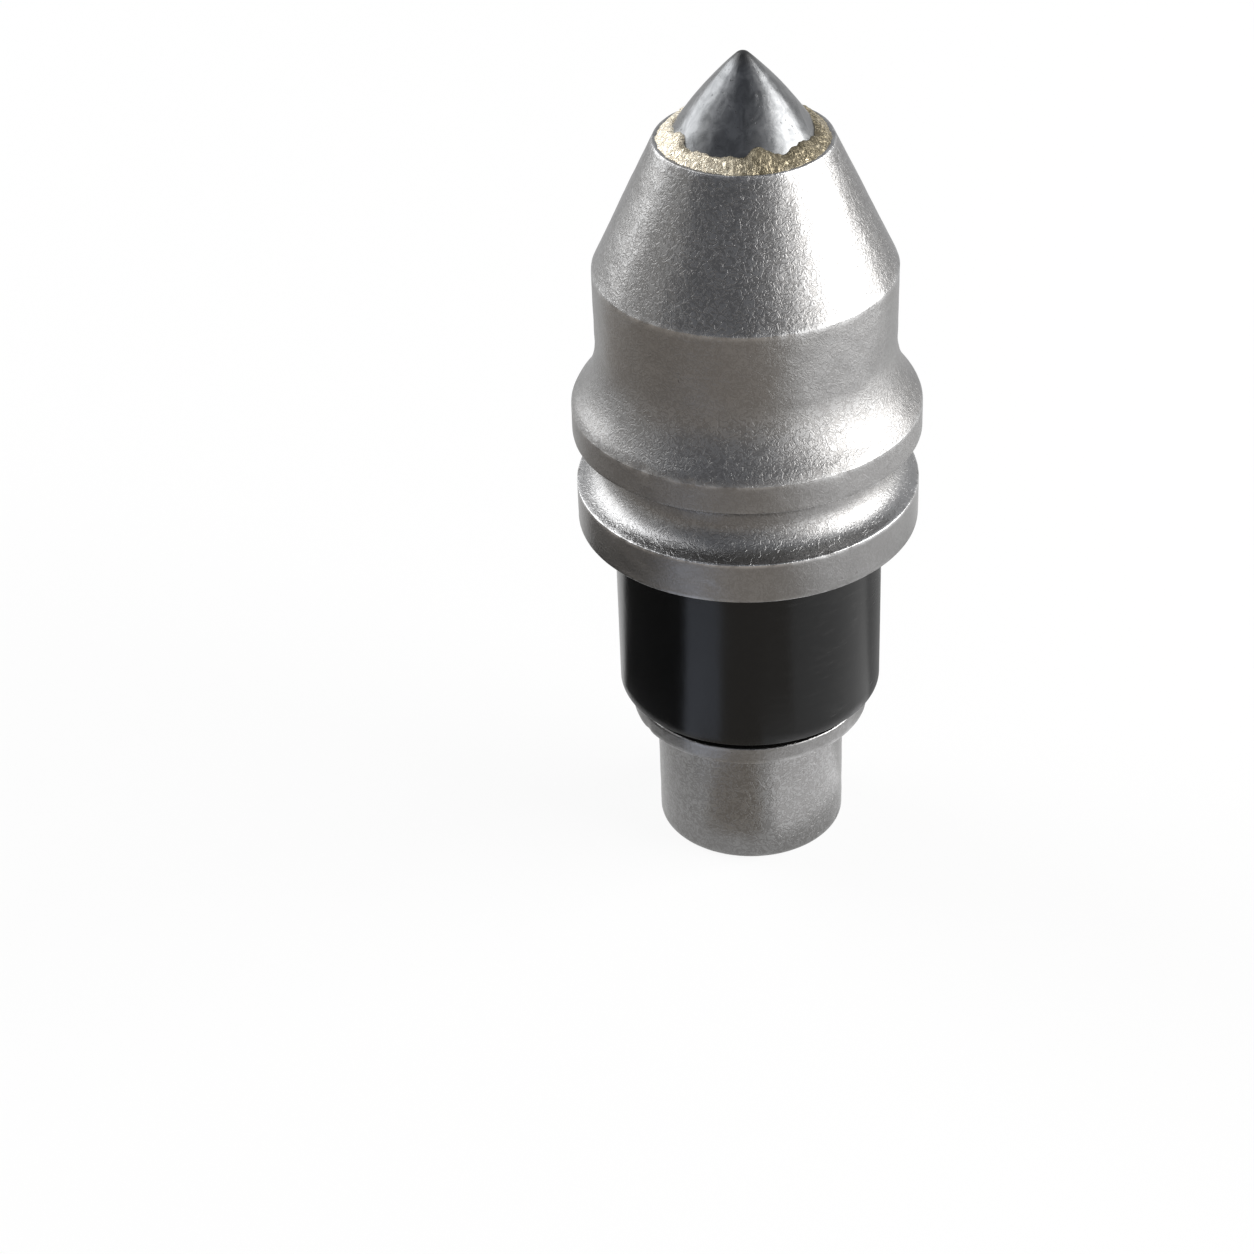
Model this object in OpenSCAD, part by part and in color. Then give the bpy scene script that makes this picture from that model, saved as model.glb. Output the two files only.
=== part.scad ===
// Conical cutting pick for a rotary drilling or milling head.
// A forged and turned steel body carries a carbide tip brazed into its nose. A rolled
// spring sleeve, trapped between the flange and the retaining collar, grips the holder
// while the body turns inside it. The pick stands on its tail, with its point along +Z.

/* [Tail] */
// Diameter of the tail
tail_d = 30; // [26:0.5:33]
// Length of the tail, from its end to the retaining collar
tail_l = 22.1; // [12:0.1:34]
// Radius on the edge of the tail's end
tail_edge_r = 0.6; // [0.2:0.1:2]

/* [Retaining collar] */
// How far the collar stands out past the sleeve's bore, all round
collar_lip = 0.25; // [0.1:0.05:1]
// Height of the collar
collar_h = 3; // [2:0.1:6]

/* [Retaining sleeve] */
// Outer diameter of the sleeve, unsprung
sleeve_d = 41.7; // [40:0.1:45]
// Length of the sleeve
sleeve_l = 30.3; // [24:0.1:44]
// Thickness of the strip that the sleeve is rolled from
sleeve_wall = 2.2; // [1.6:0.1:2.8]
// Room between the sleeve's bore and the journal, all round
sleeve_room = 1.9; // [1:0.1:2.4]
// Gap below the sleeve, over the retaining collar
sleeve_gap_low = 2.2; // [0.5:0.1:4]
// Gap above the sleeve, under the flange
sleeve_gap_top = 0.3; // [0.2:0.1:2]
// Radius on the edges of the strip
sleeve_edge_r = 0.4; // [0.1:0.1:0.7]

/* [Seam of the sleeve] */
// Width of each of the seam's two windows, measured round the sleeve
seam_gap = 8.1; // [4:0.1:12]
// How far the two tongues pass each other, measured round the sleeve
seam_overlap = 4.1; // [1:0.1:8]
// Height of the lower tongue
seam_split = 13.7; // [8:0.1:18]
// Width of the slit between the tongues
seam_slit = 0.4; // [0.2:0.1:1]
// Radius at the root of each tongue
seam_corner_r = 1.6; // [0.5:0.1:2.4]

/* [Flange] */
// Diameter of the flange that bears on the holder
flange_d = 52.7; // [50:0.1:60]
// Height of the flange's band
flange_h = 6.7; // [4:0.1:12]
// Room between the sleeve and the seat that bears on the holder, all round
seat_room = 0.6; // [0.3:0.1:1.5]
// Depth of the relief inside the seat, above the sleeve's end
seat_relief = 0.4; // [0.2:0.1:1]

/* [Puller groove] */
// Diameter at the root of the groove
groove_d = 44; // [41.5:0.1:47]
// Width of the groove, from the flange's edge to the rim's edge
groove_w = 9.1; // [8.7:0.1:14]
// Radius of the hollow that sweeps from the root to the flange's edge
groove_low_r = 4.4; // [2:0.1:4.6]
// Radius of the hollow under the rim
groove_high_r = 3; // [1.5:0.1:3.4]
// Angle at which the two hollows meet the flange's and the rim's edge, from the pick's axis
groove_flank = 74; // [68:1:80]

/* [Rim] */
// Diameter of the rim above the puller groove
rim_d = 53.3; // [50:0.1:60]
// Height of the rim's band
rim_h = 4.5; // [2:0.1:8]

/* [Flare and waist] */
// Diameter at the bottom of the waist
waist_d = 45.3; // [40:0.1:47]
// Height from the rim's upper edge to the shoulder
waist_h = 22.4; // [16:0.1:34]
// Radius of the hollow between the waist and the flare
flare_hollow_r = 14; // [6:0.5:16]
// Radius over which the flare rounds towards the rim
flare_round_r = 5; // [1:0.5:8]
// Steepest angle of the flare, measured from the pick's axis
flare_flank = 38; // [28:1:60]
// Angle at which the flare meets the rim, from the pick's axis
flare_edge = 18; // [0:1:25]

/* [Nose cone] */
// Diameter at the shoulder, where the nose cone starts
shoulder_d = 45.5; // [42:0.1:50]
// Radius that rounds the shoulder
shoulder_r = 0.9; // [0.3:0.1:3]
// Height of the nose cone
nose_h = 20.4; // [12:0.1:34]
// Diameter of the nose's flat end
nose_d = 26.4; // [25.2:0.1:32]

/* [Carbide tip] */
// Diameter of the tip's base
tip_d = 22; // [16:0.1:23]
// Length of the base that is sunk in the body
tip_seat = 12; // [6:0.1:20]
// Height at which the ogive starts, above the nose's flat end
tip_rise = 0.2; // [0:0.1:1]
// Height of the point above the nose's flat end
tip_h = 13.1; // [10:0.1:18]
// Radius of the ogive's flank
tip_ogive_r = 62; // [30:1:120]
// Radius of the rounded point
tip_point_r = 1.4; // [0.6:0.1:3]
// Bevel round the underside of the base
tip_bevel = 1; // [0.3:0.1:2]

/* [Braze] */
// Thickness of the braze round and under the tip's base
braze_film = 0.3; // [0.2:0.05:0.6]
// How far the bead spreads over the nose's flat end, from the pocket's wall
bead_spread = 1.25; // [0.6:0.05:1.35]
// How far the bead laps in over the tip's flank, on average
bead_lap = 0.75; // [0.4:0.05:1.2]
// How much the bead's two edges wander
bead_wander = 0.4; // [0:0.05:0.5]

/* [Hidden] */
$fn = 128;

// Steps along each small rounded edge, and along each longer arc
edge_steps = 3;
arc_steps = 9;
// Radii of the small edges and roots of the turned body
fine_edge_r = 0.3;
fine_root_r = 0.8;
// How far the bead runs in under the tip's flank, and how far a cut runs past what it cuts
bead_root = 1;
cut_past = 1;

sleeve_bore_d = sleeve_d - 2 * sleeve_wall;
journal_d = sleeve_bore_d - 2 * sleeve_room;
collar_d = sleeve_bore_d + 2 * collar_lip;
pocket_d = tip_d + 2 * braze_film;
seat_d = sleeve_d + 2 * seat_room;

// Heights, from the end of the tail up
collar_top = tail_l + collar_h;
sleeve_low = collar_top + sleeve_gap_low;
sleeve_top = sleeve_low + sleeve_l;
flange_low = sleeve_top + sleeve_gap_top;
flange_top = flange_low + flange_h;
rim_low = flange_top + groove_w;
rim_top = rim_low + rim_h;
shoulder_z = rim_top + waist_h;
nose_z = shoulder_z + nose_h;
point_z = nose_z + tip_h;
seat_z = nose_z - tip_seat;
pocket_z = seat_z - braze_film;

// Points of the arc that rounds the corner b of the path a, b, c
function corner(a, b, c, r) =
    let (u = (a - b) / norm(a - b), v = (c - b) / norm(c - b),
         half = acos(u * v) / 2,
         middle = b + (u + v) / norm(u + v) * r / sin(half),
         start = b + u * r / tan(half) - middle,
         first = atan2(start.y, start.x),
         turn = (180 - 2 * half) * sign(cross(b - a, c - b)))
    [for (i = [0:edge_steps]) middle + r * [cos(first + turn * i / edge_steps), sin(first + turn * i / edge_steps)]];

// A closed path of [r, z, rounding] corners as plain points, with rounding 0 left sharp
function rounded(path) =
    let (n = len(path), at = function (i) [path[(i + n) % n][0], path[(i + n) % n][1]])
    [for (i = [0:n - 1]) each path[i][2] > 0 ? corner(at(i - 1), at(i), at(i + 1), path[i][2]) : [at(i)]];

// An S-shaped side that goes out by the given reach: it starts along the axis, bends out on
// a hollow arc, runs straight at the flank angle and rounds back to the edge angle. A side
// too short for its two arcs has them drawn smaller. The points are [outwards, along].
function ogee(reach, hollow_r, round_r, flank, edge) =
    let (full = hollow_r * (1 - cos(flank)) + round_r * (cos(edge) - cos(flank)),
         k = min(1, reach / full),
         p = k * hollow_r * [1 - cos(flank), sin(flank)],
         q = p + (reach - k * full) / sin(flank) * [sin(flank), cos(flank)])
    concat(
        [for (i = [0:arc_steps]) let (a = flank * i / arc_steps) k * hollow_r * [1 - cos(a), sin(a)]],
        [for (i = [0:arc_steps]) let (a = flank + (edge - flank) * i / arc_steps)
            q + k * round_r * [cos(a) - cos(flank), sin(flank) - sin(a)]]);

// A hollow side that goes out by the given reach: it starts along the axis, bends out on an
// arc and runs straight at the flank angle to a sharp edge. The points are [outwards, along].
function scoop(reach, hollow_r, flank) =
    let (k = min(1, reach / (hollow_r * (1 - cos(flank)))),
         p = k * hollow_r * [1 - cos(flank), sin(flank)],
         rest = reach - p.x)
    concat(
        [for (i = [0:arc_steps]) let (a = flank * i / arc_steps) k * hollow_r * [1 - cos(a), sin(a)]],
        k < 1 ? [] : [p + rest / sin(flank) * [sin(flank), cos(flank)]]);

function side_height(side) = side[len(side) - 1].y;

// The same side placed on the body, with its foot at radius r and height z, and with its
// own direction along the axis: upwards from the foot, or downwards to be read in reverse
function side_up(side, r, z) = [for (p = side) [r + p.x, z + p.y, 0]];
function side_down(side, r, z) = [for (i = [len(side) - 1:-1:0]) [r + side[i].x, z - side[i].y, 0]];

// Outline of the body in the r, z half-plane, from the tail's end up to the pocket
function body_outline() =
    let (low_side = scoop((flange_d - groove_d) / 2, groove_low_r, groove_flank),
         high_side = scoop((rim_d - groove_d) / 2, groove_high_r, groove_flank),
         flare_side = ogee((rim_d - waist_d) / 2, flare_hollow_r, flare_round_r, flare_flank, flare_edge))
    concat(
        [[0, 0, 0],
         [tail_d / 2, 0, tail_edge_r],
         [tail_d / 2, tail_l, fine_edge_r],
         [collar_d / 2, tail_l, fine_edge_r],
         [collar_d / 2, collar_top, fine_edge_r],
         [journal_d / 2, collar_top, fine_root_r],
         [journal_d / 2, flange_low + seat_relief, fine_root_r],
         [seat_d / 2, flange_low + seat_relief, 0],
         [seat_d / 2, flange_low, 0],
         [flange_d / 2, flange_low, fine_edge_r]],
        side_down(low_side, groove_d / 2, flange_top + side_height(low_side)),
        side_up(high_side, groove_d / 2, rim_low - side_height(high_side)),
        side_down(flare_side, waist_d / 2, rim_top + side_height(flare_side)),
        [[shoulder_d / 2, shoulder_z, shoulder_r],
         [nose_d / 2, nose_z, fine_edge_r],
         [pocket_d / 2, nose_z, 0],
         [pocket_d / 2, pocket_z, 0],
         [0, pocket_z, 0]]);

// Centre of the ogive's arc: it passes the base's edge and lies tangent round the point
function ogive_centre(base, point) =
    let (d = norm(point - base),
         e = (point - base) / d,
         along = (pow(tip_ogive_r, 2) - pow(tip_ogive_r - tip_point_r, 2) + d * d) / (2 * d))
    base + along * e + sqrt(pow(tip_ogive_r, 2) - along * along) * [-e.y, e.x];

// Outline of the carbide tip in the r, z half-plane
function tip_outline() =
    let (base = [tip_d / 2, nose_z + tip_rise],
         point = [0, point_z - tip_point_r],
         c = ogive_centre(base, point),
         first = atan2(base.y - c.y, base.x - c.x),
         last = atan2(point.y - c.y, point.x - c.x))
    concat(
        [[0, seat_z], [tip_d / 2 - tip_bevel, seat_z], [tip_d / 2, seat_z + tip_bevel]],
        [for (i = [0:arc_steps]) let (a = first + (last - first) * i / arc_steps)
            c + tip_ogive_r * [cos(a), sin(a)]],
        [for (i = [1:arc_steps]) let (a = last + (90 - last) * i / arc_steps)
            i == arc_steps ? [0, point_z] : point + tip_point_r * [cos(a), sin(a)]]);

// Height of the tip's flank at radius r
function flank_z(r) =
    let (c = ogive_centre([tip_d / 2, nose_z + tip_rise], [0, point_z - tip_point_r]))
    c.y + sqrt(pow(tip_ogive_r, 2) - pow(r - c.x, 2));

// How the bead's two edges wander round the tip, from -1 to 1: the upper edge laps the
// carbide in broad scallops and the outer edge is smoother
function lap_wave(a) = 0.5 * sin(5 * a + 100) + 0.3 * sin(8 * a - 40) + 0.2 * sin(13 * a + 20);
function spread_wave(a) = 0.6 * sin(3 * a + 60) + 0.4 * sin(7 * a);

// Rings of the bead's skin: across its foot and up over its top, into the tip
bead_sides = 120;
bead_rings = 7;
function bead_point(a, j) =
    let (outer = pocket_d / 2 + bead_spread - bead_wander * 0.25 * (1 - spread_wave(a)),
         inner = tip_d / 2 - bead_lap - bead_wander * lap_wave(a),
         top = flank_z(inner),
         core = inner - bead_root,
         t = (j - 1) / (bead_rings - 3))
    j == 0 ? [core, nose_z] :
    j == bead_rings - 1 ? [core, top] :
    [outer + (inner - outer) * t, nose_z + (top - nose_z) * pow(sin(90 * t), 1.2)];

module bead_blob() {
    points = [for (i = [0:bead_sides - 1], j = [0:bead_rings - 1])
        let (a = 360 * i / bead_sides, p = bead_point(a, j)) [p.x * cos(a), p.x * sin(a), p.y]];
    faces = [for (i = [0:bead_sides - 1], j = [0:bead_rings - 1])
        let (i2 = (i + 1) % bead_sides, j2 = (j + 1) % bead_rings,
             p = i * bead_rings + j, q = i2 * bead_rings + j,
             r = i2 * bead_rings + j2, s = i * bead_rings + j2)
        each [[p, s, r], [p, r, q]]];
    polyhedron(points, faces);
}

// Angle, in degrees, of a distance measured round the sleeve
function round_angle(distance) = distance * 360 / (PI * sleeve_d);

// One of the seam's two windows with its half of the slit, cut straight through the wall.
// Seen from outside, side -1 is the upper window, at the left, and side 1 the lower one.
module seam_window(side) {
    middle = (seam_overlap + seam_gap) / 2;
    edge = sleeve_d / 2 * sin(round_angle(seam_gap / 2));
    reach = sleeve_d / 2 * sin(round_angle(middle + seam_slit));
    root = sleeve_low + seam_split + (side > 0 ? seam_slit : 0);
    inner = journal_d / 2;
    rotate([0, 0, side * round_angle(middle)])
        translate([inner, 0, root])
            rotate([90, 0, 90])
                linear_extrude(sleeve_d / 2 - inner + cut_past)
                    polygon(-side * rounded([
                        [-edge, sleeve_l, 0], [-edge, 0, seam_corner_r],
                        [reach, 0, 0], [reach, seam_slit, 0],
                        [edge, seam_slit, 0], [edge, sleeve_l, 0]]));
}

module pick_body() {
    color("silver")
        rotate_extrude()
            polygon(rounded(body_outline()));
}

module carbide_tip() {
    color("dimgray")
        rotate_extrude()
            polygon(tip_outline());
}

// The braze fills what the tip leaves of its pocket, and laps up over its edge as a bead
module braze_joint() {
    color("darkkhaki")
        difference() {
            union() {
                translate([0, 0, pocket_z])
                    cylinder(d = pocket_d, h = nose_z - pocket_z);
                bead_blob();
            }
            rotate_extrude()
                polygon(tip_outline());
        }
}

module retaining_sleeve() {
    color([0.09, 0.09, 0.1])
        rotate([0, 0, 90])
            difference() {
                rotate_extrude()
                    polygon(rounded([
                        [sleeve_bore_d / 2, sleeve_low, sleeve_edge_r],
                        [sleeve_d / 2, sleeve_low, sleeve_edge_r],
                        [sleeve_d / 2, sleeve_top, sleeve_edge_r],
                        [sleeve_bore_d / 2, sleeve_top, sleeve_edge_r]]));
                seam_window(-1);
                seam_window(1);
            }
}

pick_body();
carbide_tip();
braze_joint();
retaining_sleeve();
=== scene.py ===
import math
import bpy
import numpy as np
from mathutils import Matrix, Vector


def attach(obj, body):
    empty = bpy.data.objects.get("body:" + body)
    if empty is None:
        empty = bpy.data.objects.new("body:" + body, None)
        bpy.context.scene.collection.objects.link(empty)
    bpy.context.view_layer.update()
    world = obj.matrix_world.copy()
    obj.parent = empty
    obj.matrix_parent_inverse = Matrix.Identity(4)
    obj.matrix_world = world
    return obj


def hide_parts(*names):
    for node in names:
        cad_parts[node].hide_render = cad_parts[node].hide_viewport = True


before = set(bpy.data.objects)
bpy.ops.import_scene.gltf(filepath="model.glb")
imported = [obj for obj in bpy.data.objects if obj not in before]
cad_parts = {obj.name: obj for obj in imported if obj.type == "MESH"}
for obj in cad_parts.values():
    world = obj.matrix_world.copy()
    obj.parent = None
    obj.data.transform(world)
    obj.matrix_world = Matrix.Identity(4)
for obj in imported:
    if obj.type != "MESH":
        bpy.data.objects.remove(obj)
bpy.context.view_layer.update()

# The body: one forging in tough steel, turned all over and blasted, so that its skin is a
# satin grey with a fine wrinkled grain. Handling has left small nicks on its sharper edges.

MM = 0.001
TAIL_R, TAIL_TOP = 15.0, 22.1
COLLAR_R, COLLAR_TOP = 18.9, 25.1
JOURNAL_R = 16.75
SEAT_R, SEAT_RELIEF = 21.45, 0.4
FLANGE_R, FLANGE_LOW, FLANGE_TOP = 26.35, 57.9, 64.6
GROOVE_R = 22.0
RIM_R, RIM_LOW, RIM_TOP = 26.65, 73.7, 78.2
WAIST_R = 22.65
SHOULDER_R, SHOULDER_Z = 22.75, 100.6
NOSE_R, NOSE_Z = 13.2, 121.0
POCKET_R, POCKET_Z = 11.3, 108.7


def corner(a, b, c, radius, steps):
    """The points of the arc that rounds the corner b of the path a, b, c."""
    u, v = (a - b) / np.linalg.norm(a - b), (c - b) / np.linalg.norm(c - b)
    half = math.acos(float(u @ v)) / 2
    middle = b + (u + v) / np.linalg.norm(u + v) * radius / math.sin(half)
    start = b + u * radius / math.tan(half) - middle
    turn = (math.pi - 2 * half) * math.copysign(1, float(np.cross(b - a, c - b)))
    angle = math.atan2(start[1], start[0]) + turn * np.linspace(0, 1, steps + 1)
    return middle + radius * np.stack([np.cos(angle), np.sin(angle)], 1)


def rounded(path, steps=4):
    """An open path of (radius, height, rounding) corners as points, with its arcs drawn."""
    flat = np.array([p[:2] for p in path], float)
    parts = [flat[:1]]
    for before, here, after, p in zip(flat, flat[1:], flat[2:], path[1:]):
        parts.append(corner(before, here, after, p[2], steps) if p[2] else here[None])
    return np.concatenate(parts + [flat[-1:]])


def ogee(reach, hollow, nose, flank, edge, steps):
    """An S-shaped side: a hollow arc from the axis' direction to the flank angle, a straight
    run, and a rounded arc back to the edge angle. Rows are (outwards, along)."""
    flank, edge = math.radians(flank), math.radians(edge)
    full = hollow * (1 - math.cos(flank)) + nose * (math.cos(edge) - math.cos(flank))
    k = min(1, reach / full)
    a = np.linspace(0, flank, steps)
    b = np.linspace(flank, edge, steps)
    low = k * hollow * np.stack([1 - np.cos(a), np.sin(a)], 1)
    straight = (reach - k * full) / math.sin(flank)
    start = low[-1] + straight * np.array([math.sin(flank), math.cos(flank)])
    arc = np.stack([np.cos(b) - math.cos(flank), math.sin(flank) - np.sin(b)], 1)
    return np.concatenate([low, start + k * nose * arc])


def scoop(reach, hollow, flank, steps=14):
    """A hollow side that starts along the axis, bends out on an arc to the flank angle and
    runs on straight. Returns its (outwards, along) points without the last, and its whole
    length along the axis."""
    a = np.linspace(0, math.radians(flank), steps)
    out, up = hollow * (1 - np.cos(a)), hollow * np.sin(a)
    rise = up[-1] + (reach - out[-1]) / math.tan(a[-1])
    return np.stack([out, up], 1), rise


def filled(path, pitch):
    """The same path with points added, so that no step is longer than the pitch."""
    steps = np.linalg.norm(np.diff(path, axis=0), axis=1)
    parts = [np.linspace(a, b, max(1, math.ceil(d / pitch)), endpoint=False)
             for a, b, d in zip(path[:-1], path[1:], steps) if d > 1e-6]
    return np.concatenate(parts + [path[-1:]])


def ripple(seed, turn, along, radius, pitch, waves=28):
    """Smooth random relief of about -1 to 1: a sum of plane waves on the unrolled surface,
    each with a whole number of waves round the turn, so that it closes on itself."""
    rng = np.random.default_rng(seed)
    total = np.zeros(np.broadcast(turn, along).shape)
    for _ in range(waves):
        way = rng.uniform(0, 2 * math.pi)
        number = 2 * math.pi / (pitch * rng.uniform(0.7, 1.5))
        total += np.cos(round(number * radius * math.cos(way)) * turn
                        + number * math.sin(way) * along + rng.uniform(0, 2 * math.pi))
    return total / math.sqrt(waves)


def grid_object(name, points, faces):
    """A mesh object from an array of points in millimetres and an array of four- or
    three-cornered faces, where a corner of -1 means that the face has three."""
    mesh = bpy.data.meshes.new(name)
    mesh.from_pydata((points * MM).tolist(), [], [[c for c in f if c >= 0] for f in faces.tolist()])
    mesh.polygons.foreach_set("use_smooth", np.ones(len(faces), bool))
    mesh.update()
    obj = bpy.data.objects.new(name, mesh)
    bpy.context.scene.collection.objects.link(obj)
    return obj


def ringed(name, section, low, high):
    """A closed skin through rings whose (radius, height) may vary round the turn, from a
    pole on the axis at the height low to another at the height high."""
    rows, sides = section.shape[:2]
    turn = 2 * math.pi * np.arange(sides) / sides
    radius, height = section[..., 0], section[..., 1]
    rings = np.stack([radius * np.cos(turn), radius * np.sin(turn), height], 2)
    points = np.concatenate([rings.reshape(-1, 3), [[0, 0, low], [0, 0, high]]])
    i, k = np.meshgrid(np.arange(rows - 1), np.arange(sides), indexing="ij")
    nxt = (k + 1) % sides
    here, above = i * sides, (i + 1) * sides
    quads = np.stack([here + k, here + nxt, above + nxt, above + k], 2)
    k = np.arange(sides)
    nxt, last, none = (k + 1) % sides, (rows - 1) * sides, np.full(sides, -1)
    low_cap = np.stack([nxt, k, k * 0 + rows * sides, none], 1)
    high_cap = np.stack([last + k, last + nxt, k * 0 + rows * sides + 1, none], 1)
    return grid_object(name, points, np.concatenate([quads.reshape(-1, 4), low_cap, high_cap]))


def turned(name, profile, push):
    """A profile turned about Z. Its first and last point lie on the axis and become poles;
    the others become rings, each point moved by push (rings x sides, in millimetres) along
    the profile's own outward normal."""
    tangent = np.gradient(profile, axis=0)
    tangent /= np.linalg.norm(tangent, axis=1)[:, None]
    normal = np.stack([tangent[:, 1], -tangent[:, 0]], 1)[1:-1, None]
    section = profile[1:-1, None] + normal * push[:, :, None]
    return ringed(name, section, low=profile[0, 1], high=profile[-1, 1])


# The groove's two hollow sides, and the flare: an ogee from the waist out to the rim.
GROOVE_LOW_R, GROOVE_HIGH_R, GROOVE_FLANK = 4.4, 3.0, 74
low_side, low_rise = scoop(FLANGE_R - GROOVE_R, GROOVE_LOW_R, GROOVE_FLANK)
high_side, high_rise = scoop(RIM_R - GROOVE_R, GROOVE_HIGH_R, GROOVE_FLANK)
flare = ogee(RIM_R - WAIST_R, hollow=14, nose=5, flank=38, edge=18, steps=22)

# The profile's (radius, height, rounding) corners, from the tail's foot to the pocket.
FINE_FROM = FLANGE_LOW - 4
tail_part = rounded([
    (0, 0), (TAIL_R, 0, 0.6), (TAIL_R, TAIL_TOP, 0.3), (COLLAR_R, TAIL_TOP, 0.3),
    (COLLAR_R, COLLAR_TOP, 0.3), (JOURNAL_R, COLLAR_TOP)])
upper_part = rounded(
    [(JOURNAL_R, FINE_FROM), (JOURNAL_R, FLANGE_LOW + SEAT_RELIEF, 0.8),
     (SEAT_R, FLANGE_LOW + SEAT_RELIEF, 0), (SEAT_R, FLANGE_LOW, 0.15),
     (FLANGE_R, FLANGE_LOW, 0.3), (FLANGE_R, FLANGE_TOP, 0.22)]
    + [(GROOVE_R + out, FLANGE_TOP + low_rise - up, 0) for out, up in low_side[::-1]]
    + [(GROOVE_R + out, RIM_LOW - high_rise + up, 0) for out, up in high_side]
    + [(RIM_R, RIM_LOW, 0.22), (RIM_R, RIM_TOP, 0.3)]
    + [(WAIST_R + out, RIM_TOP + flare[-1, 1] - up, 0) for out, up in flare[-2::-1]]
    + [(SHOULDER_R, SHOULDER_Z, 0.9), (NOSE_R, NOSE_Z, 0.18), (POCKET_R, NOSE_Z)])

# The grid is fine where the body shows, and coarse on the journal and in the pocket.
TAIL_PITCH, UPPER_PITCH, HIDDEN_PITCH, BODY_SIDES = 0.62, 0.46, 4, 280
body_profile = np.concatenate([
    filled(tail_part, TAIL_PITCH),
    filled(np.array([(JOURNAL_R, COLLAR_TOP), (JOURNAL_R, FINE_FROM)]), HIDDEN_PITCH)[1:-1],
    filled(upper_part, UPPER_PITCH),
    filled(np.array([(POCKET_R, NOSE_Z), (POCKET_R, POCKET_Z), (0, POCKET_Z)]), HIDDEN_PITCH)[1:]])

turn = 2 * math.pi * np.arange(BODY_SIDES) / BODY_SIDES
r, z = body_profile[1:-1, 0, None], body_profile[1:-1, 1, None]
lengths = np.linalg.norm(np.diff(body_profile, axis=0), axis=1)
along = np.cumsum(lengths)[:-1, None]

# The outside that shows is left a little uneven; the journal, the seat and the pocket aren't.
shows = ((z < COLLAR_TOP - 0.1) | (z > FLANGE_LOW + 0.3)) & (z > 0.8) & (r > POCKET_R + 0.2)
relief = 0.022 * ripple(11, turn, along, 24, 16) + 0.012 * ripple(12, turn, along, 24, 4)

# Edges that handling has worn, and that the material also paints lighter as a painted highlight:
# (how much, radius, height, reach)
EDGES = [
    (1.2, FLANGE_R, FLANGE_TOP, 0.35), (0.5, RIM_R, RIM_TOP, 0.35), (0.1, RIM_R, RIM_LOW, 0.4),
    (0.3, COLLAR_R, COLLAR_TOP, 0.35), (0.6, COLLAR_R, TAIL_TOP, 0.35), (0.8, NOSE_R, NOSE_Z, 0.4),
    (0.5, FLANGE_R, FLANGE_LOW, 0.4), (0.5, TAIL_R, 0, 0.5), (0.5, SHOULDER_R, SHOULDER_Z, 0.5)]
sharp = sum(wear * np.exp(-((r - edge_r) ** 2 + (z - edge_z) ** 2) / reach ** 2)
            for wear, edge_r, edge_z, reach in EDGES)
worn = 0.004 * ripple(13, turn, along, 26, 2.2) + 0.006 * ripple(14, turn, along, 26, 7) - 0.01
relief += sharp * worn

# Nicks and dents: (angle in degrees, radius, height, reach, depth)
NICKS = [
    (-140.3, 26.2, 64.7, 0.8, 0.08), (-125.3, 26.5, 78.6, 0.7, 0.16),
    (-108.3, 26.5, 78.4, 0.6, 0.14), (-93.7, 26.3, 64.7, 0.6, 0.06), (-59.7, 26.6, 78.4, 0.7, 0.11),
    (-102.6, 26.3, 60.7, 0.7, 0.08), (-64.0, 26.3, 64.8, 0.5, 0.1), (-75.0, 22.7, 100.4, 0.8, 0.1),
    (-118.0, 22.7, 100.5, 0.6, 0.08),
    (35.0, 26.6, 73.8, 0.9, 0.25), (96.0, 26.3, 64.6, 0.9, 0.2), (150.0, 26.6, 78.3, 1.0, 0.25),
    (72.0, 22.7, 100.4, 1.0, 0.15), (118.0, 18.9, 25.0, 0.8, 0.2), (-20.0, 15.0, 1.0, 0.8, 0.15),
    (10.0, 24.0, 81.0, 0.9, 0.12), (60.0, 26.3, 60.2, 0.8, 0.12), (130.0, 20.0, 106.5, 0.8, 0.1),
    (175.0, 17.0, 113.0, 0.7, 0.1), (-150.0, 18.9, 22.4, 0.7, 0.15)]
for angle, nick_r, nick_z, reach, depth in NICKS:
    off = nick_r * ((np.radians(angle) - turn + math.pi) % (2 * math.pi) - math.pi)
    relief -= depth * np.exp(-(off ** 2 + (r - nick_r) ** 2 + (z - nick_z) ** 2) / reach ** 2)
body = turned("steel_body", body_profile, relief * shows)


def mark(name, amount):
    """Stores a value for each point of the body's rings, for its material to read; the two
    poles have 0."""
    values = np.append(np.broadcast_to(amount, (len(r), BODY_SIDES)), [0, 0])
    body.data.attributes.new(name, "FLOAT", "POINT").data.foreach_set("value", values)


# What the skin is like at each ring: lighter on the edges that handling reaches, partly from
# wear and partly as a painted highlight, duller in the flare and the groove's hollow, painted
# lighter on the groove's lower side as painted light, and more wrinkled on the cones, the
# hollows and the tail than on the straight bands, with more painted shade in the creases there.
run = np.gradient(body_profile, axis=0)
slope = (np.abs(run[:, 0]) / np.linalg.norm(run, axis=1))[1:-1, None]
FLARE_END, GROOVE_LIGHT_END = 91, 67
mark("worn_and_highlit", np.clip(sharp, 0, 1))
mark("hollow", np.clip((z - FLANGE_TOP) / 1.5, 0, 1) * np.clip((FLARE_END - z) / 4, 0, 1))
# Painted light: the groove's lower flank is given a lighter colour in the material.
mark("groove_painted_light", np.clip((GROOVE_LIGHT_END - z) / 1.4, 0, 1) * (z > FLANGE_TOP + 0.1))
on_flange, on_tail = abs(z - 61) < 4, z < TAIL_TOP
mark("wrinkled", np.clip(0.6 + 3 * slope - 0.1 * on_flange + 0.8 * on_tail, 0, 1.4))


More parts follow.
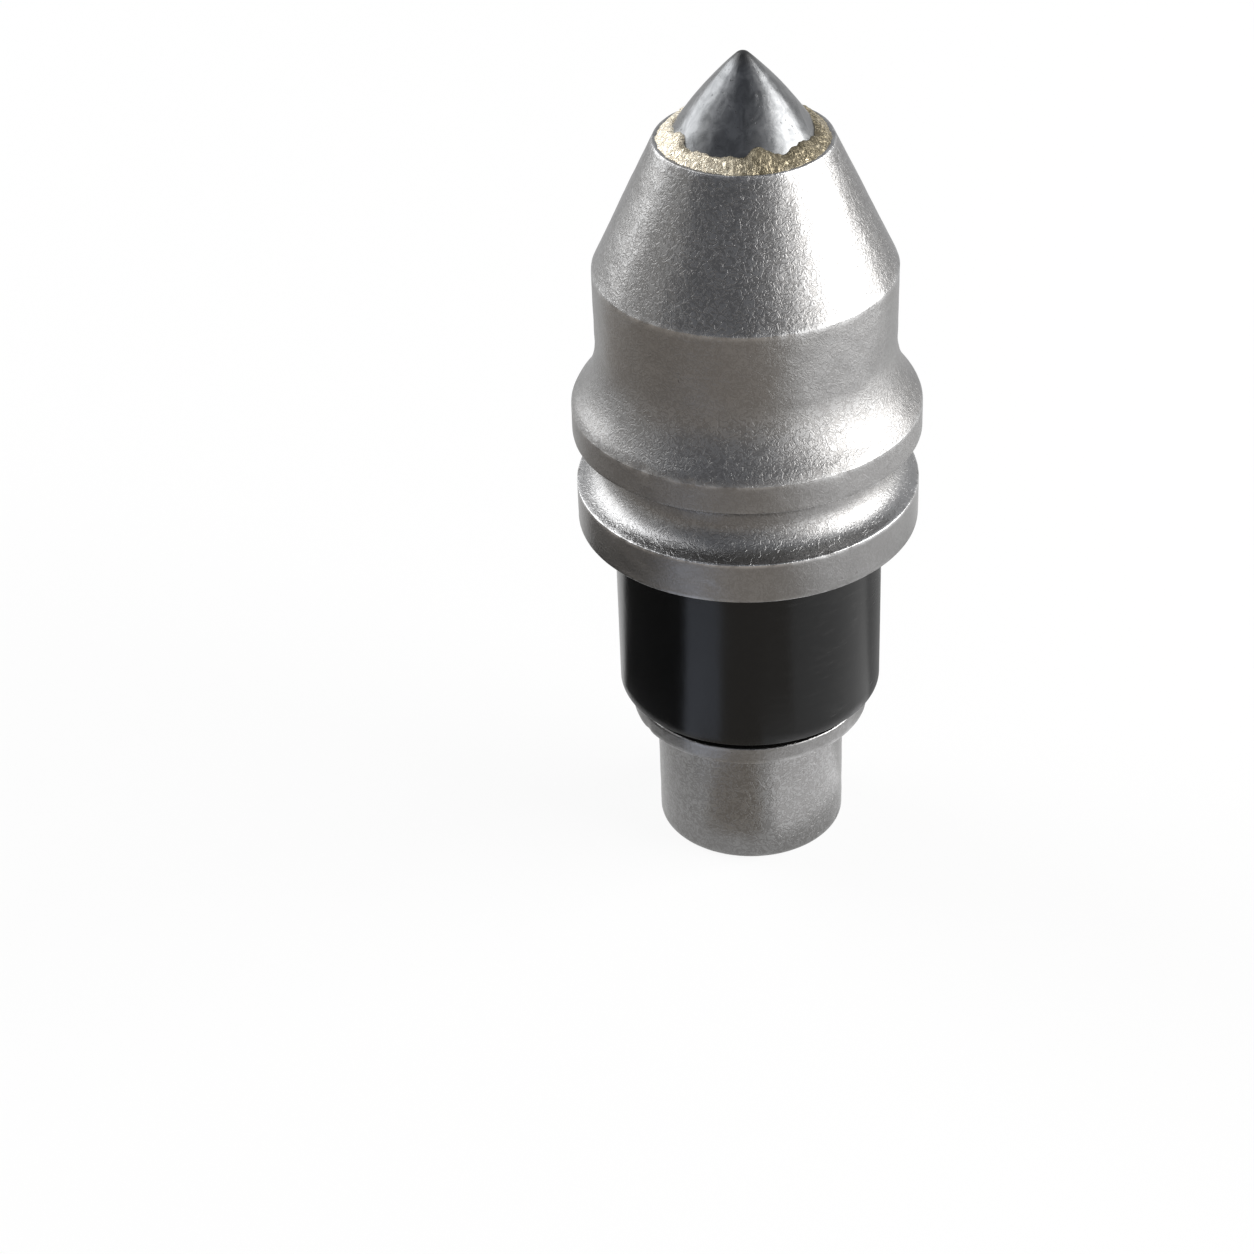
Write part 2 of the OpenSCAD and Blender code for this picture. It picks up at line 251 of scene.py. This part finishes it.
class Wire:
    """One output of a material's node. Arithmetic on it adds Math nodes, so that 1 - mask or
    0.4 * grain + 0.1 stands in a material as it would on paper."""

    def __init__(self, tree, socket):
        self.tree, self.socket = tree, socket

    def node(self, kind, settings, values, out=0):
        """Adds a node: first its settings, then the value or the link of each input."""
        made = self.tree.nodes.new(kind)
        for name, value in settings.items():
            setattr(made, name, value)
        for name, value in values.items():
            if isinstance(value, Wire):
                self.tree.links.new(value.socket, made.inputs[name])
            else:
                made.inputs[name].default_value = value
        return Wire(self.tree, made.outputs[out])

    def math(self, operation, a, b):
        return self.node("ShaderNodeMath", {"operation": operation}, {0: a, 1: b})

    def __add__(self, other):
        return self.math("ADD", self, other)

    def __sub__(self, other):
        return self.math("SUBTRACT", self, other)

    def __rsub__(self, other):
        return self.math("SUBTRACT", other, self)

    def __mul__(self, other):
        return self.math("MULTIPLY", self, other)

    __radd__ = __add__
    __rmul__ = __mul__

    def step(self, low, high):
        """0 below low, 1 above high, and a smooth slope between them."""
        return self.node("ShaderNodeMapRange", {"interpolation_type": "SMOOTHSTEP"},
                         {"Value": self, "From Min": low, "From Max": high})

    def mix(self, a, b):
        """The colour a where this is 0 and b where it is 1."""
        return self.node("ShaderNodeMix", {"data_type": "RGBA"}, {0: self, 6: a, 7: b}, 2)

    def noise(self, scale, detail, rough, bend=0.0):
        """Cloudy noise of that many lumps a metre, read at this place."""
        values = {"Vector": self, "Scale": scale, "Detail": detail, "Roughness": rough,
                  "Distortion": bend}
        return self.node("ShaderNodeTexNoise", {}, values)

    def stretched(self, x, y, z):
        """This place with each axis stretched, for a grain that runs one way."""
        return self.node("ShaderNodeMapping", {}, {"Vector": self, "Scale": (x, y, z)})

    def bump(self, height, depth, below=None):
        """A surface normal for relief of that depth in metres, on top of another relief."""
        values = {"Height": height, "Distance": depth, "Strength": 1.0}
        if below:
            values["Normal"] = below
        return self.node("ShaderNodeBump", {}, values)


def finish(name, look, **fixed):
    """A material. look(place) gets the object's own coordinates and returns the sockets that
    vary over the surface; the fixed ones hold one value all over."""
    material = bpy.data.materials.new(name)
    material.use_nodes = True
    tree = material.node_tree
    shader = tree.nodes["Principled BSDF"]
    place = Wire(tree, tree.nodes.new("ShaderNodeTexCoord").outputs["Object"])
    for socket, value in fixed.items():
        shader.inputs[socket.replace("_", " ")].default_value = value
    for socket, wire in look(place).items():
        tree.links.new(wire.socket, shader.inputs[socket])
    return material


def grey(value, warmth=0.0):
    """A grey that leans to red where warmth is above 0 and to blue where it is below."""
    return (value * (1 + warmth), value, value * (1 - warmth), 1)


def blasted_steel(place):
    """Satin steel: a wrinkled grain of about 0.35 mm whose crease lines are painted darker as
    painted shade, faint clouds of brightness, a few dark pits, edges painted a little lighter and
    made smoother, partly as wear and partly as a painted highlight, and the groove's lower side
    painted lighter as painted light."""
    grain = place.noise(1050, 1.0, 0.5, 1.3)
    creases = ((grain - 0.5) * (grain - 0.5)).step(0, 0.009)
    fine = place.noise(3600, 1, 0.5, 0.8)
    clouds = place.noise(140, 3, 0.55)
    pits = place.noise(1100, 1, 0.5).step(0.77, 0.8)
    wrinkled, wear_and_highlight, hollow, groove_painted_light = (
        place.node("ShaderNodeAttribute", {"attribute_name": name}, {}, 2)
        for name in ("wrinkled", "worn_and_highlit", "hollow", "groove_painted_light"))
    # Edges are painted lighter: partly worn metal, partly a painted highlight along them.
    wear_and_highlight = wear_and_highlight * place.noise(500, 2, 0.6).step(0.3, 0.6)
    shade = (0.6 * clouds + 0.4 * fine).step(0.3, 0.7).mix(grey(0.185, 0.012), grey(0.225, 0.008))
    # Painted shade: the grain's crease lines are painted a darker grey, more so where the skin is
    # more wrinkled.
    shade = (wrinkled * (1 - creases)).mix(shade, grey(0.163, 0.02))
    # Painted light: the groove's lower flank is mixed halfway to a light grey; the pits stay dark.
    shade = pits.mix((0.5 * groove_painted_light).mix(shade, grey(0.4)), grey(0.13, 0.03))
    wrinkles = wrinkled * (1 - 0.05 * hollow) * (0.3 * creases + 0.9 * grain)
    return {
        "Base Color": wear_and_highlight.mix(shade, grey(0.42)),
        "Roughness": (0.38 - 0.06 * wrinkled + 0.085 * hollow + 0.1 * (clouds - 0.5)
                      - 0.06 * wear_and_highlight + 0.15 * pits),
        "Normal": place.bump(fine, 0.000013, place.bump(wrinkles, 0.00004))}


body.data.materials.append(finish("blasted_steel", blasted_steel, Metallic=1.0))
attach(body, "pick")
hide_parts("pick_body")

# The cutting point: one piece of sintered tungsten carbide, a blunt ogive on a plain
# cylinder that sits in the nose's pocket. It is ground, so it is dark grey and half-bright.

TIP_R, SEAT_Z, OGIVE_Z, POINT_Z = 11.0, 109.0, 121.2, 134.1
OGIVE_R, POINT_R, BEVEL = 62.0, 1.4, 1.0


def ogive(steps, point_steps):
    """The flank's arc, from the base's edge up, and the small arc of the point that it
    meets without a break."""
    base, point = np.array([TIP_R, OGIVE_Z]), np.array([0, POINT_Z - POINT_R])
    gap = np.linalg.norm(point - base)
    e = (point - base) / gap
    run = (OGIVE_R ** 2 - (OGIVE_R - POINT_R) ** 2 + gap ** 2) / (2 * gap)
    centre = base + run * e + math.sqrt(OGIVE_R ** 2 - run ** 2) * np.array([-e[1], e[0]])
    first = math.atan2(base[1] - centre[1], base[0] - centre[0])
    last = math.atan2(point[1] - centre[1], point[0] - centre[0])
    a = np.linspace(first, last, steps)
    b = np.linspace(last, math.pi / 2, point_steps)[1:]
    flank = centre + OGIVE_R * np.stack([np.cos(a), np.sin(a)], 1)
    nose = point + POINT_R * np.stack([np.cos(b), np.sin(b)], 1)
    return centre, np.concatenate([flank, nose])


ogive_centre, flank = ogive(steps=70, point_steps=14)
sunk_part = np.array([(4, SEAT_Z), (TIP_R - BEVEL, SEAT_Z), (TIP_R, SEAT_Z + BEVEL), flank[0]])
tip_profile = np.concatenate([[(0, SEAT_Z)], filled(sunk_part, 2)[:-1], flank])
tip_profile[-1, 0] = 0
TIP_SIDES = 256
turn = 2 * math.pi * np.arange(TIP_SIDES) / TIP_SIDES
r, z = tip_profile[1:-1, 0, None], tip_profile[1:-1, 1, None]

# Only the flank that shows is uneven, less and less towards the point's very end.
ground = (z > OGIVE_Z) * np.clip(r / 3, 0, 1)
relief = ground * (0.012 * ripple(21, turn, z, 8, 6) + 0.005 * ripple(22, turn, z, 8, 1.6))
tip = turned("carbide_point", tip_profile, relief)


def ground_carbide(place):
    """Ground carbide: dark and half-bright, with cloudy smears round its base, fine pores
    and the very end of the point darker and rougher."""
    smears = place.stretched(1, 1, 0.6).noise(480, 5, 0.62, 0.8)
    grain = place.noise(1500, 2, 0.5)
    pores = place.noise(2600, 1, 0.5).step(0.7, 0.76)
    high = place.node("ShaderNodeSeparateXYZ", {}, {0: place}, 2).step(0.1322, 0.1338)
    shade = smears.step(0.36, 0.68).mix(grey(0.107, -0.025), grey(0.172, -0.02))
    return {
        "Base Color": high.mix(pores.mix(shade, grey(0.07)), grey(0.05)),
        "Roughness": 0.23 + 0.12 * smears + 0.15 * pores + 0.15 * high,
        "Normal": place.bump(pores, -0.000008, place.bump(grain, 0.000012))}


tip.data.materials.append(finish("ground_carbide", ground_carbide, Metallic=1.0))
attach(tip, "pick")
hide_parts("carbide_tip")

# The braze: a pale gold alloy that fills the gap round and under the carbide, and froze as
# a rough, lumpy bead between the nose's flat end and the carbide's flank.

BEAD_OUT, BEAD_WIDTH = 12.65, 2.8

# Where the bead ran up the flank: (angle in degrees, half width in degrees, how far in, mm)
LAPS = [
    (-172, 10, 0.3), (-156, 8, 0.7), (-78, 9, 0.75), (-65, 5, 0.3), (-36, 5, 0.25),
    (-103, 4, 0.12), (8, 14, 0.45), (34, 6, 0.5), (62, 10, 0.3), (88, 5, 0.5),
    (112, 9, 0.2), (140, 8, 0.5), (160, 4, 0.25)]
BRAZE_SIDES, ACROSS = 640, 34
turn = 2 * math.pi * np.arange(BRAZE_SIDES) / BRAZE_SIDES


def angle_off(degrees):
    """How many degrees round the turn each side is from an angle."""
    return np.degrees((np.radians(degrees) - turn + math.pi) % (2 * math.pi) - math.pi)


# The bead's inner edge on the flank and its outer edge on the nose both wander.
lap = 0.72 + 0.1 * ripple(31, turn, 0, 10, 5) + 0.05 * ripple(32, turn, 0, 10, 1.6)
for middle, width, reach in LAPS:
    lap = lap + reach * np.exp(-(angle_off(middle) / width) ** 4)
inner = TIP_R - lap
outer = BEAD_OUT + 0.12 * ripple(33, turn, 0, 13, 6) + 0.08 * ripple(34, turn, 0, 13, 2)
outer = outer + 0.28 * np.exp(-(angle_off(-82) / 34) ** 4)
outer = np.clip(outer, POCKET_R + 0.5, NOSE_R - 0.16)
top = ogive_centre[1] + np.sqrt(OGIVE_R ** 2 - (inner - ogive_centre[0]) ** 2)

# Across the bead, from its outer edge (t = 0) to its inner one: a swollen quarter round.
t = np.linspace(0, 1, ACROSS)[:, None]
v = BEAD_WIDTH * t
bead_r = outer + (inner - outer) * t
bead_z = NOSE_Z + (top - NOSE_Z) * np.sin(t * math.pi / 2) ** 1.15
swell = np.sin(math.pi * t) ** 0.6
lumps = (0.045 * ripple(35, turn, v, 12, 1.2, 60) + 0.035 * ripple(36, turn, v, 12, 0.7, 60)
         + 0.05 * ripple(37, turn, v, 12, 3.5))
bead_z = bead_z + swell * (0.05 + lumps)
bead_r = bead_r + swell * 0.06 * ripple(38, turn, v, 12, 1.1, 60)

# Under the bead a thin film lines the pocket and wraps the sunk part of the carbide.
sunk = 0.12
foot = np.stack([outer, np.full(BRAZE_SIDES, NOSE_Z - sunk)], 1)[None]
cup = np.array([(6, POCKET_Z), (POCKET_R, POCKET_Z), (POCKET_R, NOSE_Z - sunk)])
lining = np.array([(TIP_R - 1.6, NOSE_Z + 0.4), (TIP_R, OGIVE_Z - 2), (TIP_R, SEAT_Z + BEVEL),
                   (TIP_R - BEVEL, SEAT_Z), (6, SEAT_Z)])


def rings(path):
    """Plain rings of (radius, height), the same all the way round."""
    return np.broadcast_to(path[:, None], (len(path), BRAZE_SIDES, 2))


tuck = np.stack([inner - 0.35, top - 0.25], 1)[None]
bead = np.stack([bead_r, bead_z], 2)
section = np.concatenate([rings(cup), foot, bead, tuck, rings(lining)])
braze = ringed("braze_bead", section, low=POCKET_Z, high=SEAT_Z)


def frozen_braze(place):
    """Pale gold braze: crusty, in fine folds that run across the bead, with bright crests and
    dull brown hollows, partly the braze's own oxide and partly painted shade, and painted
    paler on one side, partly a tint of the braze and partly painted light."""
    x, y, z = (place.node("ShaderNodeSeparateXYZ", {}, {0: place}, axis) for axis in range(3))
    # The folds are read on the unrolled bead: the way round it, its height and the way out.
    round_bead = 0.012 * x.math("ARCTAN2", x, 0 - y)
    across = 20 * (x * x + y * y)
    folds = place.node("ShaderNodeCombineXYZ", {}, {"X": round_bead, "Y": 0.5 * z, "Z": across})
    folds = folds.noise(1150, 3, 0.5, 1.6)
    crust = ((folds - 0.5) * (folds - 0.5)).step(0, 0.012)
    grains = place.noise(4200, 2, 0.6)
    stain = place.noise(420, 3, 0.6)
    # Painted paler on the left side: partly a tint of the braze, partly painted light from the
    # left.
    left = x.step(0.003, -0.013)
    # The folds' hollows are painted dark brown: partly the braze's own oxide, partly painted shade.
    shade = crust.mix((0.12, 0.1, 0.06, 1), (0.29, 0.25, 0.17, 1))
    pale_and_lit = crust.mix((0.72, 0.64, 0.5, 1), (1.0, 0.95, 0.81, 1))
    shade = left.mix(shade, pale_and_lit)
    shade = stain.step(0.55, 0.75).mix(shade, (0.34, 0.3, 0.22, 1))
    return {
        "Base Color": shade,
        "Roughness": 0.45 - 0.15 * crust,
        "Metallic": 0.5 + 0.3 * crust,
        "Normal": place.bump(grains, 0.00003, place.bump(0.3 * crust + folds, 0.00034))}


braze.data.materials.append(finish("frozen_braze", frozen_braze))
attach(braze, "pick")
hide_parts("braze_joint")

# The retaining sleeve: a strip of spring steel 2.2 mm thick, rolled into a ring and oxided
# black. Its ends pass each other in a stepped seam, which lets it close up in the holder.

SLEEVE_OUT, SLEEVE_IN = 20.85, 18.65
SLEEVE_LOW, SLEEVE_TOP = 27.3, 57.6
BROKEN_EDGE = 0.32

# The seam on the flat strip: the width of its windows, how far the two tongues pass each
# other, the height of the lower one, the slit between them and the radius at their roots.
SEAM_GAP, SEAM_LAP, SEAM_SPLIT, SEAM_SLIT, SEAM_ROOT = 8.1, 4.1, 13.7, 0.4, 1.6
BAND_COLUMNS, TONGUE_ROWS = 241, 9
split = SLEEVE_LOW + SEAM_SPLIT
half, end = SEAM_LAP / 2, SEAM_LAP / 2 + SEAM_GAP
round_mm = 2 * math.pi * SLEEVE_OUT
band = np.linspace(end, round_mm - end, BAND_COLUMNS)


def tongue(s, low, high):
    """A tongue of the flat strip: a grid of (distance round, height), whose lower and upper
    edges are given for each distance."""
    v = np.linspace(0, 1, TONGUE_ROWS)[:, None]
    return np.stack([np.broadcast_to(s, (TONGUE_ROWS, len(s))), low + (high - low) * v], 2)


def root_rise(s, at):
    """How far the rounded corner at a tongue's root reaches into the window, at each
    distance."""
    d = np.clip(SEAM_ROOT - np.abs(s - at), 0, SEAM_ROOT)
    return SEAM_ROOT - np.sqrt(SEAM_ROOT ** 2 - d ** 2)


def root_steps(start, stop):
    """Distances along a tongue, close together at its rounded root, which is at start."""
    way = math.copysign(SEAM_ROOT, stop - start)
    fine = start + way * (1 - np.cos(np.linspace(0, math.pi / 2, 10)))
    return np.concatenate([fine, np.linspace(fine[-1], stop, 12)[1:]])


# The lower tongue runs on from the far end of the band, the upper one back from its start.
far = root_steps(-end, half)
lower_top = split + root_rise(far, -end)
lower = tongue(far + round_mm, np.full(len(far), SLEEVE_LOW), lower_top)
back = root_steps(end, -half)[::-1]
upper_low = split + SEAM_SLIT - root_rise(back, end)
upper = tongue(back, upper_low, np.full(len(back), SLEEVE_TOP))

# The band's rows meet those of both tongues, and run evenly from one end to the other.
over_lower = np.linspace(lower_top[0], SLEEVE_TOP, TONGUE_ROWS)
under_upper = np.linspace(SLEEVE_LOW, upper_low[-1], TONGUE_ROWS)
rows_far = np.concatenate([lower[:, 0, 1], over_lower[1:]])
rows_near = np.concatenate([under_upper[:-1], upper[:, -1, 1]])
share = ((band - end) / (round_mm - 2 * end))[None, :]
main = np.stack([np.broadcast_to(band, (len(rows_far), BAND_COLUMNS)),
                 rows_near[:, None] * (1 - share) + rows_far[:, None] * share], 2)


def rolled(name, patches):
    """Flat patches rolled round Z and joined into a closed strip: an outer and an inner
    skin, with walls along every edge that only one patch has. Distance 0 lies on +Y."""
    flat, faces, start = [], [], 0
    for p in patches:
        rows, cols = p.shape[:2]
        flat.append(p.reshape(-1, 2))
        i, k = np.meshgrid(np.arange(rows - 1), np.arange(cols - 1), indexing="ij")
        a = start + i * cols + k
        faces.append(np.stack([a, a + 1, a + cols + 1, a + cols], 2).reshape(-1, 4))
        start += rows * cols
    flat, faces = np.concatenate(flat), np.concatenate(faces)
    _, first, same = np.unique(np.round(flat, 4), axis=0, return_index=True, return_inverse=True)
    flat, faces = flat[first], same.reshape(-1)[faces]
    edges = np.concatenate([faces[:, [k, (k + 1) % 4]] for k in range(4)])
    key = np.sort(edges, 1)
    _, at, count = np.unique(key, axis=0, return_index=True, return_counts=True)
    rim = edges[at[count == 1]]
    angle = math.pi / 2 + flat[:, 0] / SLEEVE_OUT
    skins = [np.stack([radius * np.cos(angle), radius * np.sin(angle), flat[:, 1]], 1)
             for radius in (SLEEVE_OUT, SLEEVE_IN)]
    n = len(flat)
    walls = np.stack([rim[:, 1], rim[:, 0], rim[:, 0] + n, rim[:, 1] + n], 1)
    faces = np.concatenate([faces, faces[:, ::-1] + n, walls])
    return grid_object(name, np.concatenate(skins), faces)


sleeve = rolled("spring_sleeve", [main, lower, upper])
edge_round = sleeve.modifiers.new("broken_edges", "BEVEL")
edge_round.width = BROKEN_EDGE * MM
edge_round.segments = 3
edge_round.limit_method = "ANGLE"
edge_round.angle_limit = math.radians(50)


def black_oxide(place):
    """Black oxide on rolled spring steel: half-glossy, with soft clouds and faint scuffs that
    run round the sleeve."""
    clouds = place.noise(90, 3, 0.5)
    streaks = place.stretched(1, 1, 0.12).noise(700, 3, 0.6)
    scuffs = place.stretched(0.35, 0.35, 3).noise(600, 4, 0.65).step(0.5, 0.8)
    scuffs = scuffs * place.node("ShaderNodeSeparateXYZ", {}, {0: place}).step(-0.002, 0.012)
    grain = place.noise(1200, 2, 0.5)
    return {
        "Base Color": scuffs.mix(grey(0.004, -0.03), grey(0.014, 0.02)),
        "Roughness": 0.14 + 0.08 * clouds + 0.08 * streaks + 0.09 * scuffs,
        "Normal": place.bump(grain, 0.000008, place.bump(clouds, 0.00008))}


sleeve.data.materials.append(finish("black_oxide", black_oxide, Specular_IOR_Level=0.25))
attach(sleeve, "sleeve")
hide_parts("retaining_sleeve")

# The studio: a white floor and surround, a large soft lamp on either side, and matt cards,
# which only mirrors see: a dark room in front and overhead, darker and lighter patches on
# the floor, and a lit wall at the right. Steel looks like what it mirrors.

# Half the floor's width, in metres.
HALF = 30.0
floor_mesh = bpy.data.meshes.new("studio_floor")
floor_corners = [(-HALF, -HALF, 0), (HALF, -HALF, 0), (HALF, HALF, 0), (-HALF, HALF, 0)]
floor_mesh.from_pydata(floor_corners, [], [(0, 1, 2, 3)])
floor = bpy.data.objects.new("studio_floor", floor_mesh)
bpy.context.scene.collection.objects.link(floor)


def stage_tree(owner, output):
    """The emptied node tree of a material or world, and a way to end it in its output."""
    owner.use_nodes = True
    tree = owner.node_tree
    tree.nodes.clear()
    end = tree.nodes.new(output)
    return tree, lambda wire: tree.links.new(wire.socket, end.inputs["Surface"])


def for_eyes(tree):
    """1 on the rays of the camera and of mirrors and glass, and 0 on those of plain light."""
    rays = tree.nodes.new("ShaderNodeLightPath")
    return (Wire(tree, rays.outputs["Is Camera Ray"]) + Wire(tree, rays.outputs["Is Glossy Ray"])
            + Wire(tree, rays.outputs["Is Transmission Ray"]))


# Near the pick the floor keeps a little of its shadow; further off it is as white as the
# surround, so that no horizon shows.
FLOOR_WHITE = 0.9
floor_look = bpy.data.materials.new("white_floor")
tree, end = stage_tree(floor_look, "ShaderNodeOutputMaterial")
eyes = for_eyes(tree)
matt = eyes.node("ShaderNodeBsdfDiffuse", {}, {"Color": (0.85, 0.85, 0.85, 1)})
white = eyes.node("ShaderNodeEmission", {}, {"Color": (1, 1, 1, 1), "Strength": 1.0})
place = Wire(tree, tree.nodes.new("ShaderNodeTexCoord").outputs["Object"])
away = place.node("ShaderNodeVectorMath", {"operation": "LENGTH"}, {0: place}, 1).step(0.6, 2.5)
share = (FLOOR_WHITE + (1 - FLOOR_WHITE) * away) * eyes
end(eyes.node("ShaderNodeMixShader", {}, {0: share, 1: matt, 2: white}))
floor_mesh.materials.append(floor_look)

world = bpy.data.worlds.new("studio")
bpy.context.scene.world = world
tree, end = stage_tree(world, "ShaderNodeOutputWorld")
eyes = for_eyes(tree)
# White to the eye and in mirrors, while it lights the pick as a grey surround does.
surround = eyes.mix((0.4, 0.4, 0.4, 1), (1, 1, 1, 1))
end(eyes.node("ShaderNodeBackground", {}, {"Color": surround, "Strength": 1.0}))


def card(name, points, faces, glow):
    """A matt card that only mirrors see: it hides nothing from the camera and casts no
    shadow, and the steel mirrors it as a surface of that colour and brightness."""
    sheet = grid_object(name, points, faces)
    look = bpy.data.materials.new(name)
    tree, end = stage_tree(look, "ShaderNodeOutputMaterial")
    start = Wire(tree, None)
    end(start.node("ShaderNodeEmission", {}, {"Color": (*glow, 1), "Strength": 1.0}))
    sheet.data.materials.append(look)
    sheet.visible_camera = sheet.visible_diffuse = sheet.visible_shadow = False


TUBE_HEIGHT, TUBE_STEPS, FAN_STEPS = 450, 27, 24


def tube(name, radius, first, last, left, right, glow):
    """A card that is part of a tube along X over the pick, between two angles: 0 is level on
    the camera's side and 90 overhead."""
    a = np.radians(np.linspace(first, last, TUBE_STEPS + 1))
    arc = np.stack([-radius * np.cos(a), TUBE_HEIGHT + radius * np.sin(a)], 1)
    points = np.concatenate([np.insert(arc, 0, x, axis=1) for x in (left, right)])
    i = np.arange(TUBE_STEPS)
    card(name, points, np.stack([i, i + 1, i + TUBE_STEPS + 2, i + TUBE_STEPS + 1], 1), glow)


tube("room_card", 2200, -8, 38, -3400, 2600, (0.36, 0.373, 0.408))
tube("room_card_high", 2200, 38, 95, -3400, 2600, (0.25, 0.262, 0.294))
tube("ceiling_card", 2200, 95, 165, -2600, 2600, (0.8, 0.81, 0.84))
tube("room_card_back", 2200, 165, 178, -900, 900, (0.5, 0.5, 0.5))
tube("upper_left_card", 2100, 68, 110, -3200, -1000, (2.2, 2.21, 2.27))
tube("upper_left_card_back", 2100, 110, 150, -2600, -700, (1.3, 1.3, 1.3))


def fan(name, first, last, near_r, far_r, glow, near_z=1.0, far_z=1.0):
    """A floor card: a part of a ring round the pick, between two azimuths, where 0 is the
    camera's side and they grow to the camera's right. It may rise from its near edge."""
    a = np.radians(np.linspace(first, last, FAN_STEPS + 1))
    ring = np.concatenate([np.stack([r * np.sin(a), -r * np.cos(a), 0 * a + z], 1)
                           for r, z in ((near_r, near_z), (far_r, far_z))])
    i = np.arange(FAN_STEPS)
    card(name, ring, np.stack([i, i + FAN_STEPS + 1, i + FAN_STEPS + 2, i + 1], 1), glow)


fan("floor_card_left", -125, -50, 45, 110, (0.03, 0.03, 0.03))
fan("floor_card_flange", -125, -28, 110, 140, (0.35, 0.34, 0.33))
fan("floor_card_middle", -22, 32, 60, 110, (0.56, 0.52, 0.47))
fan("floor_card_gap", -50, -22, 45, 110, (1.25, 1.35, 1.58))
fan("floor_card_far", -85, 26, 140, 1500, (0.65, 0.585, 0.52))
fan("floor_card_front", -28, 26, 110, 140, (0.65, 0.585, 0.52))
fan("floor_card_back", -125, -85, 140, 230, (0.65, 0.585, 0.52))
fan("floor_card_right", 26, 44, 110, 155, (0.65, 0.63, 0.61))
fan("floor_card_waist", 26, 110, 168, 200, (0.45, 0.45, 0.455))
fan("floor_card_side", 44, 110, 110, 155, (1.5, 1.5, 1.51))
fan("floor_card_rim", 26, 110, 155, 168, (0.56, 0.56, 0.57))
fan("lit_near_floor", 20, 100, 20, 45, (1.95, 1.95, 1.97))
fan("floor_card_behind", 140, 215, 120, 1500, (0.72, 0.72, 0.73))
fan("floor_card_edge", 110, 150, 40, 95, (0.35, 0.35, 0.35))
fan("floor_card_near", -38, 8, 20, 60, (0.58, 0.53, 0.47))
fan("lit_floor", 32, 112, 200, 1400, (3.6, 3.6, 3.6))
fan("lit_wall", 32, 112, 1400, 1400, (3.2, 3.2, 3.2), 1.0, 620.0)
fan("dim_wall", 12, 60, 1400, 1400, (0.9, 0.9, 0.92), 620.0, 1500.0)


PICK_MIDDLE = 0.07


def soft_lamp(name, azimuth, elevation, distance, width, height, power, colour):
    """A rectangular lamp that faces the middle of the pick. Azimuth 0 is the camera's side
    and grows to the camera's right."""
    a, e = math.radians(azimuth), math.radians(elevation)
    aim = Vector((0, 0, PICK_MIDDLE))
    out = Vector((math.sin(a) * math.cos(e), -math.cos(a) * math.cos(e), math.sin(e)))
    data = bpy.data.lights.new(name, "AREA")
    data.shape, data.size, data.size_y = "RECTANGLE", width, height
    data.energy, data.color = power, colour
    lamp = bpy.data.objects.new(name, data)
    lamp.rotation_euler = out.to_track_quat("Z", "Y").to_euler()
    lamp.location = aim + out * distance
    bpy.context.scene.collection.objects.link(lamp)


soft_lamp("right_softbox", azimuth=86, elevation=19, distance=1.2,
          width=1.2, height=0.78, power=23.5, colour=(1.0, 0.99, 0.98))
soft_lamp("left_softbox", azimuth=-119, elevation=28, distance=1.3,
          width=0.8, height=1.3, power=12.5, colour=(0.98, 0.99, 1.0))

# The camera stands where the photograph's did, 0.48 m from the pick's foot and above it. It
# aims beside the pick, which stands right of the picture's middle, and is then turned a
# little more, by a rotation vector in radians. Places are in metres.

FOCAL_PX, FRAME_PX, SENSOR = 2883.1, 1254, 36.0
eye_at = np.array([0, -0.37971, 0.29901])
aim_at = np.array([-0.02086, 0, 0.0751])
forward = aim_at - eye_at
forward /= np.linalg.norm(forward)
right = np.cross(forward, (0, 0, 1))
right /= np.linalg.norm(right)
basis = np.array([right, np.cross(forward, right), forward])
swing = Vector((0.0736, -0.0043, -0.0429))
turned_by = np.array(Matrix.Rotation(swing.length, 3, swing.normalized()))
basis = turned_by @ basis
camera_data = bpy.data.cameras.new("photo_camera")
camera_data.sensor_width = SENSOR
camera_data.lens = FOCAL_PX / FRAME_PX * SENSOR
camera_data.clip_start = 0.01
camera = bpy.data.objects.new("photo_camera", camera_data)
axes = np.array([basis[0], -basis[1], -basis[2]]).T
camera.matrix_world = Matrix.Translation(eye_at) @ Matrix(axes.tolist()).to_4x4()
bpy.context.scene.collection.objects.link(camera)
bpy.context.scene.camera = camera
bpy.context.scene.view_settings.view_transform = "Standard"
